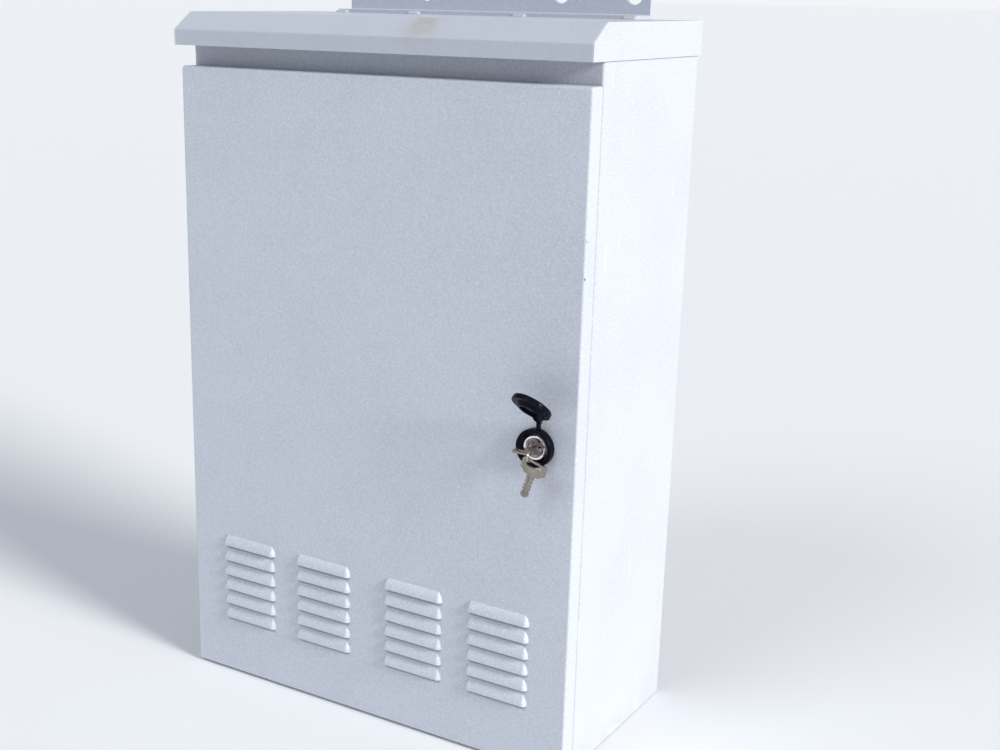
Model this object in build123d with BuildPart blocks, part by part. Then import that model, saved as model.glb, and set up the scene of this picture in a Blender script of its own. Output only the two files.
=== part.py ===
from build123d import *
import os
from math import cos, radians, sin, sqrt

# Outdoor equipment cabinet for a wall or a pole: a folded steel box with a rain hood, a louvred door
# and a cam lock. The origin is the middle of the box's underside. X runs to the right for someone facing
# the door, Y runs from the door back to the wall, and Z runs up. All sizes are in millimetres.

# Box
box_width = 400.0
box_depth = 177.0
box_height = 612.0
box_sheet = 1.5
inside_bend = 1.0
rim_round = 1.0
opening_flange = 14.0
lip_depth = 10.0
lip_corner = 8.0

# Door, as wide as the box
door_sheet = 1.5
door_projection = 17.4
door_floor_gap = 1.5
door_top_gap = 44.3
door_body_gap = 2.0
door_corner = 2.5
door_inside_bend = 0.7

# Louvres: two columns on each side of the middle; the share is how much of the free width lies in the middle
louvre_edge = 36.5
louvre_middle_share = 0.4253
louvre_rows = 6
louvre_pitch = 14.5
louvre_first = 56.0
louvre_length = 60.0
louvre_height = 9.5
louvre_rise = 4.0
louvre_skin = 1.2

# Rain hood
hood_sheet = 1.5
hood_drop = 26.6
hood_reach = 23.0
hood_lip = 13.6
hood_slope_start = 2.0
hood_side_gap = 0.3
hood_bend = 2.5

# Hanging bracket
bracket_edge = 45.0
bracket_height = 40.0
bracket_foot = 27.0
bracket_sheet = 3.0
bracket_bend = 4.0
bracket_corner = 5.0
bracket_hole = 15.0
bracket_hole_height = 19.0
bracket_hole_edge = 15.0
bracket_inner_spacing = 140.0
inner_weld_places = (-68.0, 42.0)
weld_length = 14.0
weld_leg = 2.5

# Lower fixing holes
fixing_hole = 9.0
fixing_edge = 50.0
fixing_height = 40.0

# Gland plate in the floor
gland_opening_width = 240.0
gland_opening_depth = 56.0
gland_back_gap = 3.0
gland_overlap = 14.0
gland_sheet = 2.0
gland_seal_height = 3.0
gland_corner = 6.0
grommet_count = 3
grommet_pitch = 72.0
grommet_hole = 32.0
grommet_wall = 3.0
grommet_flange = 4.0
grommet_flange_height = 2.2
grommet_bevel = 2.0
grommet_skin = 1.5
gland_stud_columns = 3

# Mounting plate
plate_side_gap = 28.5
plate_end_gap = 54.5
plate_sheet = 2.0
plate_stand_off = 18.0
plate_edge = 15.0
plate_corner = 4.0
plate_spacer = 14.0
plate_slot_length = 24.0
plate_slot_width = 7.0
plate_slot_columns = 3
plate_slot_rows = 5
plate_slot_edge = 80.0

# Welded studs: thread size, nut across flats, nut thickness
plate_thread = 8.0
plate_nut_flats = 13.0
plate_nut_height = 6.5
plate_washer = 16.0
plate_washer_height = 1.6
earth_thread = 6.0
earth_nut_flats = 10.0
earth_nut_height = 5.0
box_earth_length = 16.0
box_earth_side = 80.0
box_earth_height = 35.0
door_earth_length = 12.0
door_earth_side = 40.0
door_earth_drop = 37.7
small_thread = 4.0
small_nut_flats = 7.0
small_nut_height = 3.2
thread_clearance = 0.2
hole_clearance = 1.0
stud_end = 3.0

# Hinges
hinge_edge = 93.0
hinge_inset = 5.0
hinge_forward = 10.0
hinge_pin = 4.0
hinge_pin_head = 6.4
hinge_pin_head_height = 1.5
hinge_ear_height = 5.0
hinge_ear_round = 3.3
hinge_ear_neck = 6.0
hinge_neck_left = 1.0
hinge_play = 0.05
hinge_end_gap = 0.5
hinge_swing_gap = 0.3
hinge_arm_sheet = 2.5
hinge_arm_depth = 9.5
hinge_gasket_gap = 0.3
hinge_pin_tail = 0.5
hinge_back_sheet = 1.5
hinge_back_height = 34.0
hinge_notch_gap = 1.0

# Gasket, ribs and dust filter on the inside of the door
gasket_width = 10.0
gasket_round = 2.0
gasket_gap = 0.3
rib_edge = 72.0
rib_width = 22.0
rib_depth = 9.0
rib_sheet = 1.2
rib_start = 176.5
rib_end = 39.7
rib_hole = 9.0
rib_hole_pitch = 25.0
filter_margin_x = 5.0
filter_margin_z = 8.0
filter_thickness = 6.0
grille_sheet = 1.2
grille_border_x = 5.0
grille_border_z = 12.0
grille_columns = 6
grille_rows = 2
grille_bar = 8.0
grille_stud_inset = 28.5

# Lock, measured from its own axis
lock_edge = 35.8
lock_rise = 1.4
bezel_radius = 16.0
bezel_height = 7.0
bezel_mouth = 13.2
bezel_floor = 10.5
bezel_round = 1.6
barrel_head = 10.0
barrel_head_height = 2.2
barrel_radius = 9.0
barrel_flats = 16.0
barrel_face_depth = 3.2
barrel_ring = 2.0
barrel_groove = 1.0
lock_fit = 0.1
plug_radius = 6.5
plug_play = 0.05
plug_proud = 0.6
plug_head_gap = 0.2
plug_end_play = 0.1
plug_tail_gap = 0.2
keyway_depth = 17.0
plug_square = 7.0
lock_washer_radius = 12.5
lock_washer_height = 1.0
lock_nut_flats = 24.0
lock_nut_height = 4.5
cam_gap = 1.8
cam_width = 16.0
cam_reach = 31.0
cam_sheet = 2.5
cam_corner = 3.0
cam_screw_flats = 8.0
cam_screw_height = 3.5
cam_screw_length = 6.0
cam_screw_bore = 6.0
cam_washer_radius = 5.5
cam_washer_height = 1.0

# Weather cap of the lock, shown open
cap_turn = 12.5
cap_open = 130.0
cap_hinge_radius = 25.5
cap_radius = 17.0
cap_thickness = 3.2
cap_seat_gap = 0.3
cap_round = 1.0
cap_plug_root = 12.4
cap_plug_tip = 9.8
cap_plug_height = 2.6
cap_pocket = 7.6
cap_pocket_depth = 1.8
cap_arm = 1.6
cap_arm_gap = 0.2
cap_arm_root = 2.0
cap_knuckle = 2.2
cap_pin_size = 1.8
cap_pin_play = 0.05
tongue_width = 3.0
tongue_root = 1.5

# Keys and their ring
key_sheet = 1.8
key_bow_width = 22.0
key_bow_depth = 12.5
key_bow_corner = 2.5
key_shoulder = 4.0
key_shoulder_half = 5.6
key_blade_width = 6.5
key_blade_length = 20.0
key_tip = 1.8
key_insert = 15.0
key_slot_length = 14.0
key_slot_width = 4.2
key_slot_edge = 1.8
key_notches = (5.0, 9.0, 13.0)
key_notch = 1.6
keyway_gap = 0.2
ring_radius = 4.0
ring_wire = 1.0
ring_offset = 5.2
ring_drop = 1.9
ring_split = 6.0
spare_tilt = 18.0
spare_offset = 5.0
spare_gap = 0.5

# Planes and places that several pieces share
door_width = box_width
door_height = box_height - door_floor_gap - door_top_gap
box_front = -box_depth / 2
box_back = box_depth / 2
inner_back = box_back - box_sheet
door_front = box_front - door_projection
door_inner = door_front + door_sheet
door_rear = box_front - door_body_gap
door_bottom = door_floor_gap
door_middle = door_bottom + door_height / 2
door_top = door_bottom + door_height
gland_centre = inner_back - gland_back_gap - gland_overlap - gland_opening_depth / 2
opening_width = door_width - 2 * opening_flange
opening_height = door_height - 2 * opening_flange
lip_front = box_front - lip_depth
roof_top = box_height + hood_sheet
lock_x = door_width / 2 - lock_edge
lock_z = door_middle + lock_rise
bezel_front = door_front - bezel_height
barrel_face = bezel_front + barrel_face_depth
plug_face = barrel_face - plug_proud
barrel_rear = box_front + box_sheet
cam_front = barrel_rear + cam_gap
hinge_x = -door_width / 2 + hinge_inset
hinge_y = box_front - hinge_forward
hinge_places = (door_bottom + hinge_edge, door_top - hinge_edge)

os.makedirs("parts", exist_ok=True)


def facing_door(y):
    """A plane square to Y at the given y, with X and Z as its own axes and its normal out of the door."""
    return Plane.XZ.offset(-y)


def at_lock(y):
    """The same plane with its origin on the lock's axis."""
    return Plane(origin=(lock_x, y, lock_z), x_dir=(1, 0, 0), z_dir=(0, -1, 0))


# Box: one folded sheet with a flange round the door opening and a lip that bites into the door's gasket
fixing_spacing = box_width - 2 * fixing_edge

with BuildPart() as body_shell:
    with BuildSketch():
        RectangleRounded(box_width, box_depth, inside_bend + box_sheet)
    extrude(amount=box_height)
    fillet(body_shell.faces().filter_by(Axis.Z).edges(), rim_round)
    with BuildSketch(Plane.XY.offset(box_sheet)):
        RectangleRounded(box_width - 2 * box_sheet, box_depth - 2 * box_sheet, inside_bend)
    extrude(amount=box_height - 2 * box_sheet, mode=Mode.SUBTRACT)
    with BuildSketch(facing_door(box_front)):
        with Locations((0, door_middle)):
            RectangleRounded(opening_width, opening_height, lip_corner)
    extrude(amount=lip_depth)
    with BuildSketch(facing_door(lip_front)):
        with Locations((0, door_middle)):
            RectangleRounded(
                opening_width - 2 * box_sheet,
                opening_height - 2 * box_sheet,
                lip_corner - box_sheet,
            )
    extrude(amount=-lip_depth - box_sheet, mode=Mode.SUBTRACT)
    with BuildSketch():
        with Locations((0, gland_centre)):
            RectangleRounded(gland_opening_width, gland_opening_depth, gland_corner)
    extrude(amount=box_sheet, mode=Mode.SUBTRACT)
    with BuildSketch(facing_door(box_back)):
        with Locations((0, fixing_height)):
            with GridLocations(fixing_spacing, 0, 2, 1):
                Circle(fixing_hole / 2)
    extrude(amount=box_sheet, mode=Mode.SUBTRACT)
body_shell.part.label = "body_shell"
export_step(body_shell.part, "parts/body_shell.step")


# Rain hood: a bent sheet over the roof with a sloping front and a drip lip, closed by two cheeks
hood_line = (
    (box_back, roof_top),
    (box_front - hood_slope_start, roof_top),
    (box_front - hood_reach, box_height - hood_drop + hood_lip),
    (box_front - hood_reach, box_height - hood_drop),
)
hood_inner_half = box_width / 2 + hood_side_gap
with BuildPart() as rain_hood:
    with BuildSketch(Plane.YZ):
        with BuildLine():
            FilletPolyline(*hood_line, radius=hood_bend)
            offset(amount=hood_sheet, side=Side.LEFT, mode=Mode.ADD)
        make_face()
    extrude(amount=hood_inner_half, both=True)
    with BuildSketch(Plane.YZ.offset(hood_inner_half)):
        with BuildLine():
            FilletPolyline(*hood_line, radius=hood_bend)
            Polyline(hood_line[-1], (box_back, box_height - hood_drop), hood_line[0])
        make_face()
    extrude(amount=hood_sheet)
    mirror(about=Plane.YZ)
rain_hood.part.label = "rain_hood"
export_step(rain_hood.part, "parts/rain_hood.step")


# Hanging bracket: an L of thicker sheet on the roof's rear edge, with two pairs of bolt holes in its upright
bracket_length = box_width - 2 * bracket_edge
bracket_outer_spacing = bracket_length - 2 * bracket_hole_edge

with BuildPart() as hanging_bracket:
    with BuildSketch(Plane.YZ):
        with BuildLine():
            FilletPolyline(
                (box_back - bracket_foot, roof_top),
                (box_back, roof_top),
                (box_back, roof_top + bracket_height),
                radius=bracket_bend,
            )
            offset(amount=bracket_sheet, side=Side.LEFT, mode=Mode.ADD)
        make_face()
    extrude(amount=bracket_length / 2, both=True)
    fillet(hanging_bracket.faces().sort_by(Axis.Z)[-1].edges().filter_by(Axis.Y), bracket_corner)
    fillet(hanging_bracket.faces().sort_by(Axis.Y)[0].edges().filter_by(Axis.Z), bracket_corner)
    with BuildSketch(facing_door(box_back)):
        with Locations((0, roof_top + bracket_hole_height)):
            for spacing in (bracket_inner_spacing, bracket_outer_spacing):
                with GridLocations(spacing, 0, 2, 1):
                    Circle(bracket_hole / 2)
    extrude(amount=bracket_sheet, mode=Mode.SUBTRACT)
hanging_bracket.part.label = "hanging_bracket"
export_step(hanging_bracket.part, "parts/hanging_bracket.step")


# Weld beads: short round-ended fillets between the bracket's foot and the roof
def weld_bead(straight, leg):
    """A quarter-round bead along X, filling the corner between an upright at y = 0 and a floor at z = 0."""
    with BuildPart() as bead:
        with BuildSketch(Plane.YZ):
            with BuildLine():
                Line((0, 0), (-leg, 0))
                RadiusArc((-leg, 0), (0, leg), leg)
                Line((0, leg), (0, 0))
            make_face()
        extrude(amount=straight / 2)
        end = Axis((straight / 2, 0, 0), (0, 0, 1))
        revolve(bead.faces().sort_by(Axis.X)[-1], axis=end, revolution_arc=90)
        mirror(about=Plane.YZ)
    return bead.part


outer_weld_place = (bracket_length - weld_length) / 2

with BuildPart() as bracket_welds:
    with Locations(
        *[
            (place, box_back - bracket_foot, roof_top)
            for place in (-outer_weld_place, *inner_weld_places, outer_weld_place)
        ]
    ):
        add(weld_bead(weld_length - 2 * weld_leg, weld_leg))
bracket_welds.part.label = "bracket_welds"
export_step(bracket_welds.part, "parts/bracket_welds.step")


# Mounting plate on four welded studs, each with a spacer behind the plate and a washer and nut before it
plate_width = box_width - 2 * box_sheet - 2 * plate_side_gap
plate_height = box_height - 2 * box_sheet - 2 * plate_end_gap
plate_centre = box_height / 2
plate_slot_pitch_x = (plate_width - 2 * plate_slot_edge) / (plate_slot_columns - 1)
plate_slot_pitch_z = (plate_height - 2 * plate_slot_edge) / (plate_slot_rows - 1)
plate_rear = inner_back - plate_stand_off
plate_front = plate_rear - plate_sheet
plate_stud_length = plate_stand_off + plate_sheet + plate_washer_height + plate_nut_height + stud_end


def plate_corners():
    """The four stud places, in the X and Z of a plane that faces the door."""
    return GridLocations(plate_width - 2 * plate_edge, plate_height - 2 * plate_edge, 2, 2)


with BuildPart() as mounting_plate:
    with BuildSketch(facing_door(plate_rear)):
        with Locations((0, plate_centre)):
            RectangleRounded(plate_width, plate_height, plate_corner)
            with plate_corners():
                Circle((plate_thread + hole_clearance) / 2, mode=Mode.SUBTRACT)
            with GridLocations(plate_slot_pitch_x, plate_slot_pitch_z, plate_slot_columns, plate_slot_rows):
                SlotOverall(plate_slot_length, plate_slot_width, rotation=90, mode=Mode.SUBTRACT)
    extrude(amount=plate_sheet)
mounting_plate.part.label = "mounting_plate"
export_step(mounting_plate.part, "parts/mounting_plate.step")

with BuildPart() as plate_spacers:
    with BuildSketch(facing_door(inner_back)):
        with Locations((0, plate_centre)):
            with plate_corners():
                Circle(plate_spacer / 2)
                Circle((plate_thread + thread_clearance) / 2, mode=Mode.SUBTRACT)
    extrude(amount=plate_stand_off)
plate_spacers.part.label = "plate_spacers"
export_step(plate_spacers.part, "parts/plate_spacers.step")

with BuildPart() as plate_studs:
    with BuildSketch(facing_door(inner_back)):
        with Locations((0, plate_centre)):
            with plate_corners():
                Circle(plate_thread / 2)
    extrude(amount=plate_stud_length)
plate_studs.part.label = "plate_studs"
export_step(plate_studs.part, "parts/plate_studs.step")

with BuildPart() as plate_washers:
    with BuildSketch(facing_door(plate_front)):
        with Locations((0, plate_centre)):
            with plate_corners():
                Circle(plate_washer / 2)
                Circle((plate_thread + thread_clearance) / 2, mode=Mode.SUBTRACT)
    extrude(amount=plate_washer_height)
plate_washers.part.label = "plate_washers"
export_step(plate_washers.part, "parts/plate_washers.step")

with BuildPart() as plate_nuts:
    with BuildSketch(facing_door(plate_front - plate_washer_height)):
        with Locations((0, plate_centre)):
            with plate_corners():
                RegularPolygon(plate_nut_flats / 2, 6, major_radius=False)
                Circle((plate_thread + thread_clearance) / 2, mode=Mode.SUBTRACT)
    extrude(amount=plate_nut_height)
plate_nuts.part.label = "plate_nuts"
export_step(plate_nuts.part, "parts/plate_nuts.step")


# Gland plate over the floor's opening, on a foam seal, held by studs welded to the floor
gland_floor = box_sheet
gland_bottom = gland_floor + gland_seal_height
gland_top = gland_bottom + gland_sheet
gland_width = gland_opening_width + 2 * gland_overlap
gland_depth = gland_opening_depth + 2 * gland_overlap
gland_stud_pitch = (gland_opening_width + gland_overlap) / (gland_stud_columns - 1)


def gland_stud_places():
    """The places of the gland plate's studs, about the plate's centre."""
    return GridLocations(gland_stud_pitch, gland_opening_depth + gland_overlap, gland_stud_columns, 2)


with BuildPart() as gland_seal:
    with BuildSketch(Plane.XY.offset(gland_floor)):
        with Locations((0, gland_centre)):
            RectangleRounded(gland_width, gland_depth, gland_corner)
            RectangleRounded(gland_opening_width, gland_opening_depth, gland_corner, mode=Mode.SUBTRACT)
            with gland_stud_places():
                Circle((small_thread + hole_clearance) / 2, mode=Mode.SUBTRACT)
    extrude(amount=gland_seal_height)
gland_seal.part.label = "gland_seal"
export_step(gland_seal.part, "parts/gland_seal.step")

with BuildPart() as gland_plate:
    with BuildSketch(Plane.XY.offset(gland_bottom)):
        with Locations((0, gland_centre)):
            RectangleRounded(gland_width, gland_depth, gland_corner)
            with GridLocations(grommet_pitch, 0, grommet_count, 1):
                Circle(grommet_hole / 2, mode=Mode.SUBTRACT)
            with gland_stud_places():
                Circle((small_thread + hole_clearance) / 2, mode=Mode.SUBTRACT)
    extrude(amount=gland_sheet)
gland_plate.part.label = "gland_plate"
export_step(gland_plate.part, "parts/gland_plate.step")

with BuildPart() as gland_studs:
    with BuildSketch(Plane.XY.offset(gland_floor)):
        with Locations((0, gland_centre)):
            with gland_stud_places():
                Circle(small_thread / 2)
    extrude(amount=gland_seal_height + gland_sheet + small_nut_height + stud_end)
gland_studs.part.label = "gland_studs"
export_step(gland_studs.part, "parts/gland_studs.step")

with BuildPart() as gland_nuts:
    with BuildSketch(Plane.XY.offset(gland_top)):
        with Locations((0, gland_centre)):
            with gland_stud_places():
                RegularPolygon(small_nut_flats / 2, 6, major_radius=False)
                Circle((small_thread + thread_clearance) / 2, mode=Mode.SUBTRACT)
    extrude(amount=small_nut_height)
gland_nuts.part.label = "gland_nuts"
export_step(gland_nuts.part, "parts/gland_nuts.step")


# Rubber grommets: a grooved ring round each hole of the gland plate, closed by a skin that a cable breaks
def grommet():
    """One closed grommet standing on z = 0 at the gland plate's underside."""
    neck = grommet_hole / 2
    rim = neck + grommet_flange
    throat = neck - grommet_wall
    skin_low = (gland_sheet - grommet_skin) / 2
    with BuildPart() as ring:
        with BuildSketch(Plane.XZ):
            with BuildLine():
                Polyline(
                    (0, skin_low),
                    (throat, skin_low),
                    (throat, -grommet_flange_height),
                    (rim, -grommet_flange_height),
                    (rim, 0),
                    (neck, 0),
                    (neck, gland_sheet),
                    (rim, gland_sheet),
                    (rim - grommet_bevel, gland_sheet + grommet_flange_height),
                    (throat, gland_sheet + grommet_flange_height),
                    (throat, skin_low + grommet_skin),
                    (0, skin_low + grommet_skin),
                    close=True,
                )
            make_face()
        revolve(axis=Axis.Z)
    return ring.part


with BuildPart() as cable_grommets:
    with Locations((0, gland_centre, gland_bottom)):
        with GridLocations(grommet_pitch, 0, grommet_count, 1):
            add(grommet())
cable_grommets.part.label = "cable_grommets"
export_step(cable_grommets.part, "parts/cable_grommets.step")


# Earth studs: one welded low on the back wall, one near the top of the door, each with its nut
box_earth_place = (-box_width / 2 + box_earth_side, box_earth_height)
door_earth_place = (-door_width / 2 + door_earth_side, door_top - door_earth_drop)

with BuildPart() as box_earth_stud:
    with BuildSketch(facing_door(inner_back)):
        with Locations(box_earth_place):
            Circle(earth_thread / 2)
    extrude(amount=box_earth_length)
box_earth_stud.part.label = "box_earth_stud"
export_step(box_earth_stud.part, "parts/box_earth_stud.step")

with BuildPart() as box_earth_nut:
    with BuildSketch(facing_door(inner_back)):
        with Locations(box_earth_place):
            RegularPolygon(earth_nut_flats / 2, 6, major_radius=False)
            Circle((earth_thread + thread_clearance) / 2, mode=Mode.SUBTRACT)
    extrude(amount=earth_nut_height)
box_earth_nut.part.label = "box_earth_nut"
export_step(box_earth_nut.part, "parts/box_earth_nut.step")

with BuildPart() as door_earth_stud:
    with BuildSketch(facing_door(door_inner)):
        with Locations(door_earth_place):
            Circle(earth_thread / 2)
    extrude(amount=-door_earth_length)
door_earth_stud.part.label = "door_earth_stud"
export_step(door_earth_stud.part, "parts/door_earth_stud.step")

with BuildPart() as door_earth_nut:
    with BuildSketch(facing_door(door_inner)):
        with Locations(door_earth_place):
            RegularPolygon(earth_nut_flats / 2, 6, major_radius=False)
            Circle((earth_thread + thread_clearance) / 2, mode=Mode.SUBTRACT)
    extrude(amount=-earth_nut_height)
door_earth_nut.part.label = "door_earth_nut"
export_step(door_earth_nut.part, "parts/door_earth_nut.step")


# Hinges, hidden inside the door's left return: an ear on the box, a bracket in the door and a headed pin
hinge_arm_start = hinge_ear_height / 2 + hinge_end_gap
hinge_notch_front = hinge_y - hinge_ear_round - hinge_swing_gap
return_inner = -door_width / 2 + door_sheet
gasket_outer = (opening_width - box_sheet + gasket_width) / 2
hinge_arm_width = -gasket_outer - hinge_gasket_gap - return_inner

with BuildPart() as hinge_ears:
    for place in hinge_places:
        with BuildSketch(Plane.XY.offset(place - hinge_ear_height / 2)):
            with Locations((hinge_x, hinge_y)):
                Circle(hinge_ear_round)
                with Locations((hinge_ear_neck / 2 - hinge_neck_left, hinge_forward / 2)):
                    Rectangle(hinge_ear_neck, hinge_forward)
                Circle(hinge_pin / 2 + hinge_play, mode=Mode.SUBTRACT)
        extrude(amount=hinge_ear_height)
hinge_ears.part.label = "hinge_ears"
export_step(hinge_ears.part, "parts/hinge_ears.step")

with BuildPart() as hinge_brackets:
    for place in hinge_places:
        with BuildSketch(Plane.XY.offset(place - hinge_back_height / 2)):
            with Locations((return_inner, door_inner)):
                Rectangle(hinge_arm_width, hinge_back_sheet, align=(Align.MIN, Align.MIN))
        extrude(amount=hinge_back_height)
        for side in (place + hinge_arm_start, place - hinge_arm_start - hinge_arm_sheet):
            with BuildSketch(Plane.XY.offset(side)):
                with Locations((return_inner, door_inner)):
                    Rectangle(hinge_arm_width, hinge_arm_depth, align=(Align.MIN, Align.MIN))
                with Locations((hinge_x, hinge_y)):
                    Circle(hinge_pin / 2, mode=Mode.SUBTRACT)
            extrude(amount=hinge_arm_sheet)
    fillet(hinge_brackets.edges().filter_by(Axis.Z).group_by(Axis.Y)[0].group_by(Axis.X)[0], door_inside_bend)
hinge_brackets.part.label = "hinge_brackets"
export_step(hinge_brackets.part, "parts/hinge_brackets.step")

with BuildPart() as hinge_pins:
    for place in hinge_places:
        arm_top = place + hinge_arm_start + hinge_arm_sheet
        arm_bottom = place - hinge_arm_start - hinge_arm_sheet
        with BuildSketch(Plane.XY.offset(arm_bottom - hinge_pin_tail)):
            with Locations((hinge_x, hinge_y)):
                Circle(hinge_pin / 2)
        extrude(amount=arm_top - arm_bottom + hinge_pin_tail)
        with BuildSketch(Plane.XY.offset(arm_top)):
            with Locations((hinge_x, hinge_y)):
                Circle(hinge_pin_head / 2)
        extrude(amount=hinge_pin_head_height)
hinge_pins.part.label = "hinge_pins"
export_step(hinge_pins.part, "parts/hinge_pins.step")


# Louvre: a pressed hood of even skin, open below, whose ends are the same curve turned about the vertical
def louvre_form(front, back, top, straight):
    """A bump from the plane y = back out to y = front at its lower edge, straight for a length along X."""
    with BuildPart() as form:
        with BuildSketch(Plane.YZ):
            with BuildLine():
                Line((back, 0), (front, 0))
                TangentArc((front, 0), (back, top), tangent=(0, 1))
                Line((back, top), (back, 0))
            make_face()
        extrude(amount=straight / 2)
        end = Axis((straight / 2, back, 0), (0, 0, 1))
        revolve(form.faces().sort_by(Axis.X)[-1], axis=end, revolution_arc=90)
        mirror(about=Plane.YZ)
    return form.part


louvre_straight = louvre_length - 2 * louvre_rise
louvre_arc = (louvre_rise**2 + louvre_height**2) / (2 * louvre_rise)
hollow_top = sqrt((louvre_arc - louvre_skin) ** 2 - (louvre_arc - louvre_rise - door_sheet) ** 2)
outer_column = door_width / 2 - louvre_edge - louvre_length / 2
free_width = outer_column - 1.5 * louvre_length
inner_column = louvre_length / 2 + louvre_middle_share * free_width
louvre_places = [
    (side * column, door_front, door_bottom + louvre_first + row * louvre_pitch)
    for column in (inner_column, outer_column)
    for side in (-1, 1)
    for row in range(louvre_rows)
]

# Door: a folded tray with pressed louvres, a flatted lock hole and two notches for the hinge ears
with BuildPart() as door_panel:
    with BuildSketch(facing_door(door_front)):
        with Locations((0, door_middle)):
            RectangleRounded(door_width, door_height, door_corner)
    extrude(amount=door_front - door_rear)
    fillet(door_panel.faces().sort_by(Axis.Y)[0].edges(), door_inside_bend + door_sheet)
    with BuildSketch(facing_door(door_inner)):
        with Locations((0, door_middle)):
            RectangleRounded(
                door_width - 2 * door_sheet,
                door_height - 2 * door_sheet,
                door_corner - door_sheet,
            )
    extrude(amount=door_inner - door_rear, mode=Mode.SUBTRACT)
    fillet(door_panel.faces().filter_by(Axis.Y).sort_by(Axis.Y)[1].edges(), door_inside_bend)
    with Locations(*louvre_places):
        add(louvre_form(-louvre_rise, 0, louvre_height, louvre_straight))
    with Locations(*louvre_places):
        add(
            louvre_form(louvre_skin - louvre_rise, door_sheet, hollow_top, louvre_straight - 2 * louvre_skin),
            mode=Mode.SUBTRACT,
        )
    with BuildSketch(at_lock(door_front)):
        Circle(barrel_radius + lock_fit)
        Rectangle(2 * bezel_radius, barrel_flats + 2 * lock_fit, mode=Mode.INTERSECT)
    extrude(amount=-door_sheet, mode=Mode.SUBTRACT)
    with BuildSketch(Plane.YZ.offset(-door_width / 2)):
        with Locations(*[((hinge_notch_front + door_rear) / 2, place) for place in hinge_places]):
            Rectangle(door_rear - hinge_notch_front, hinge_ear_height + 2 * hinge_notch_gap)
    extrude(amount=door_sheet, mode=Mode.SUBTRACT)
door_panel.part.label = "door_panel"
export_step(door_panel.part, "parts/door_panel.step")


# Gasket: a foam ring on the door that the box's lip presses into
gasket_mid_width = opening_width - box_sheet
gasket_mid_height = opening_height - box_sheet
gasket_mid_corner = lip_corner - box_sheet / 2
gasket_thickness = lip_front - gasket_gap - door_inner

with BuildPart() as door_gasket:
    with BuildSketch(facing_door(door_inner)):
        with Locations((0, door_middle)):
            RectangleRounded(
                gasket_mid_width + gasket_width,
                gasket_mid_height + gasket_width,
                gasket_mid_corner + gasket_width / 2,
            )
            RectangleRounded(
                gasket_mid_width - gasket_width,
                gasket_mid_height - gasket_width,
                gasket_mid_corner - gasket_width / 2,
                mode=Mode.SUBTRACT,
            )
    extrude(amount=-gasket_thickness)
    fillet(door_gasket.faces().sort_by(Axis.Y)[-1].edges(), gasket_round)
door_gasket.part.label = "door_gasket"
export_step(door_gasket.part, "parts/door_gasket.step")


# Stiffening ribs: two perforated channels welded upright inside the door
rib_offset = door_width / 2 - rib_edge
rib_bottom = door_bottom + rib_start
rib_top = door_top - rib_end
rib_length = rib_top - rib_bottom
rib_holes = round(rib_length / rib_hole_pitch)

with BuildPart() as door_ribs:
    with BuildSketch(Plane.XY.offset(rib_bottom)):
        with Locations((-rib_offset, door_inner), (rib_offset, door_inner)):
            Rectangle(rib_width, rib_depth, align=(Align.CENTER, Align.MIN))
            Rectangle(
                rib_width - 2 * rib_sheet,
                rib_depth - rib_sheet,
                align=(Align.CENTER, Align.MIN),
                mode=Mode.SUBTRACT,
            )
    extrude(amount=rib_length)
    with BuildSketch(facing_door(door_inner + rib_depth)):
        with Locations((0, (rib_bottom + rib_top) / 2)):
            with GridLocations(2 * rib_offset, rib_hole_pitch, 2, rib_holes):
                Rectangle(rib_hole, rib_hole)
    extrude(amount=rib_sheet, mode=Mode.SUBTRACT)
door_ribs.part.label = "door_ribs"
export_step(door_ribs.part, "parts/door_ribs.step")


# Dust filter behind the louvres, and the grille that holds it on six welded studs
louvre_field_height = (louvre_rows - 1) * louvre_pitch + louvre_height
filter_width = 2 * outer_column + louvre_length + 2 * filter_margin_x
filter_height = louvre_field_height + 2 * filter_margin_z
filter_centre = door_bottom + louvre_first + louvre_field_height / 2
filter_rear = door_inner + filter_thickness
grille_rear = filter_rear + grille_sheet
grille_stud_spacing = filter_width / 2 - grille_stud_inset
grille_window_width = (filter_width - (grille_columns + 1) * grille_bar) / grille_columns
grille_window_height = (filter_height - (grille_rows + 1) * grille_bar) / grille_rows


def grille_stud_places():
    """The places of the grille's studs, about the filter's centre."""
    return GridLocations(grille_stud_spacing, filter_height + grille_border_z, 3, 2)


with BuildPart() as dust_filter:
    with BuildSketch(facing_door(door_inner)):
        with Locations((0, filter_centre)):
            Rectangle(filter_width, filter_height)
    extrude(amount=-filter_thickness)
dust_filter.part.label = "dust_filter"
export_step(dust_filter.part, "parts/dust_filter.step")

with BuildPart() as filter_grille:
    with BuildSketch(facing_door(filter_rear)):
        with Locations((0, filter_centre)):
            Rectangle(filter_width + 2 * grille_border_x, filter_height + 2 * grille_border_z)
            with GridLocations(
                grille_window_width + grille_bar,
                grille_window_height + grille_bar,
                grille_columns,
                grille_rows,
            ):
                Rectangle(grille_window_width, grille_window_height, mode=Mode.SUBTRACT)
            with grille_stud_places():
                Circle((small_thread + hole_clearance) / 2, mode=Mode.SUBTRACT)
    extrude(amount=-grille_sheet)
filter_grille.part.label = "filter_grille"
export_step(filter_grille.part, "parts/filter_grille.step")

with BuildPart() as grille_studs:
    with BuildSketch(facing_door(door_inner)):
        with Locations((0, filter_centre)):
            with grille_stud_places():
                Circle(small_thread / 2)
    extrude(amount=door_inner - grille_rear - small_nut_height - stud_end)
grille_studs.part.label = "grille_studs"
export_step(grille_studs.part, "parts/grille_studs.step")

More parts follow.
